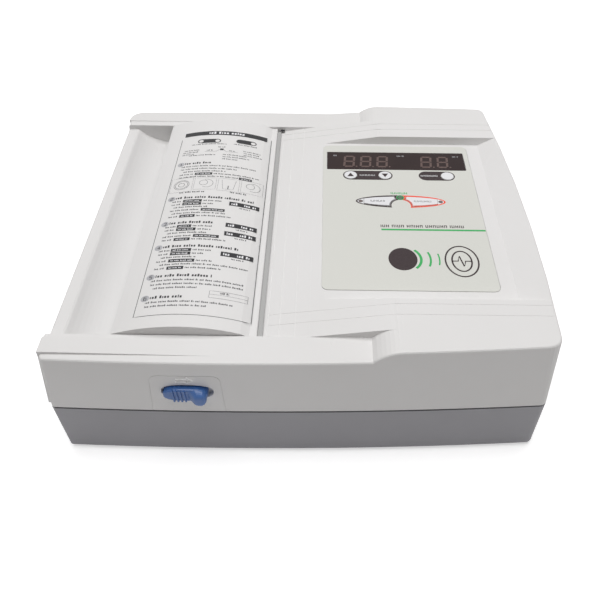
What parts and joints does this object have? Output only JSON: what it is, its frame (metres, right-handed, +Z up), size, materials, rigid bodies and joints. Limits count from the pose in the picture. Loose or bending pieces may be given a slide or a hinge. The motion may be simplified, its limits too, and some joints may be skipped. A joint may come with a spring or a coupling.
{
  "type": "cardiotocograph",
  "caption": "Desk cardiotocograph: a flat two-tone case with a strip-chart printer under an arched hinged cover, and a sunken control panel with display and keys.",
  "frame": {"origin": "on the table under the middle of the overall box, at the bottom of the feet", "axes": "+X to the user's right, +Y to the back, +Z up"},
  "size_m": [0.296, 0.2728, 0.0924],
  "materials": {
    "white_plastic": "satin",
    "grey_plastic": "satin",
    "blue_plastic": "glossy",
    "panel_film": "satin",
    "window_film": "glossy",
    "key_white": "satin",
    "digit_lens": "satin",
    "green_lens": "glossy",
    "red_lens": "glossy",
    "steel": "bright",
    "aluminium": "satin",
    "rubber": "matte",
    "black_plastic": "satin",
    "gear_plastic": "satin",
    "paper": "matte",
    "card": "matte",
    "board_green": "satin",
    "frame_plastic": "satin"
  },
  "bodies": {
    "casing": {"top_shell": "white_plastic", "base_tray": "grey_plastic", "hinge_pin_front": "steel", "hinge_pin_back": "steel", "latch_plate": "white_plastic", "control_overlay": "panel_film", "display_window": "window_film", "lamp_alarm": "red_lens", "lamp_record": "red_lens", "lamp_power": "green_lens", "digits_three": "digit_lens", "digits_two": "digit_lens", "control_board": "board_green", "feed_motor": "steel", "printer_frame": "frame_plastic", "foot_front_left": "rubber", "foot_front_right": "rubber", "foot_back_left": "rubber", "foot_back_right": "rubber", "case_screw_front_left": "steel", "case_screw_back_left": "steel", "case_screw_front_right": "steel", "case_screw_back_right": "steel", "main_board": "board_green", "power_supply": "board_green", "speaker": "black_plastic", "mains_inlet": "black_plastic", "switch_housing": "black_plastic", "socket_ultrasound": "black_plastic", "socket_contraction": "black_plastic", "socket_marker": "black_plastic", "serial_port": "steel"},
    "cover": {"printer_cover": "white_plastic", "print_head": "aluminium", "head_spring_front": "steel", "head_spring_back": "steel"},
    "latch": {"latch_slider": "blue_plastic", "latch_spring": "steel"},
    "platen": {"platen_shaft": "steel", "platen_roller": "rubber", "platen_gear": "gear_plastic"},
    "idler": {"idler_gear": "gear_plastic"},
    "pinion": {"motor_pinion": "gear_plastic", "motor_shaft": "steel"},
    "roll": {"paper_roll": "paper", "paper_core": "card", "roll_spindle": "frame_plastic"},
    "rocker": {"power_rocker": "black_plastic"},
    "key_volume_up": {"key_volume_up": "key_white"},
    "key_volume_down": {"key_volume_down": "key_white"},
    "key_reference": {"key_reference": "key_white"},
    "key_alarm": {"key_alarm": "key_white"},
    "key_record": {"key_record": "key_white"}
  },
  "joints": [
    {"name": "cover_hinge", "type": "hinge", "parent": "casing", "child": "cover", "pos_m": [-0.0274, 0.00231, 0.0821], "axis": [0, 1, 0], "range_deg": [0, 95]},
    {"name": "latch_slide", "type": "slide", "parent": "casing", "child": "latch", "axis": [1, 0, 0], "range_m": [0, 0.0026], "stiffness_N_per_m": 200},
    {"name": "platen_spin", "type": "hinge", "parent": "casing", "child": "platen", "pos_m": [-0.0982, 0.00231, 0.0672], "axis": [0, 1, 0], "continuous": true},
    {"name": "idler_spin", "type": "hinge", "parent": "casing", "child": "idler", "pos_m": [-0.0982, 0.10961, 0.0432], "axis": [0, 1, 0], "continuous": true},
    {"name": "pinion_spin", "type": "hinge", "parent": "casing", "child": "pinion", "pos_m": [-0.0982, 0.10961, 0.024], "axis": [0, 1, 0], "continuous": true},
    {"name": "roll_spin", "type": "hinge", "parent": "casing", "child": "roll", "pos_m": [-0.06, -0.00059, 0.05], "axis": [0, 1, 0], "continuous": true},
    {"name": "rocker_tip", "type": "hinge", "parent": "casing", "child": "rocker", "pos_m": [0.078, 0.13071, 0.0225], "axis": [1, 0, 0], "range_deg": [-16, 0]},
    {"name": "key_volume_up_press", "type": "slide", "parent": "casing", "child": "key_volume_up", "axis": [0, 0, -1], "range_m": [0, 0.0004], "stiffness_N_per_m": 400},
    {"name": "key_volume_down_press", "type": "slide", "parent": "casing", "child": "key_volume_down", "axis": [0, 0, -1], "range_m": [0, 0.0004], "stiffness_N_per_m": 400},
    {"name": "key_reference_press", "type": "slide", "parent": "casing", "child": "key_reference", "axis": [0, 0, -1], "range_m": [0, 0.0004], "stiffness_N_per_m": 400},
    {"name": "key_alarm_press", "type": "slide", "parent": "casing", "child": "key_alarm", "axis": [0, 0, -1], "range_m": [0, 0.0004], "stiffness_N_per_m": 400},
    {"name": "key_record_press", "type": "slide", "parent": "casing", "child": "key_record", "axis": [0, 0, -1], "range_m": [0, 0.0004], "stiffness_N_per_m": 400}
  ],
  "couplings": [
    {"joint": "idler_spin", "follows": "platen_spin", "ratio": -0.66667},
    {"joint": "pinion_spin", "follows": "platen_spin", "ratio": 2}
  ]
}
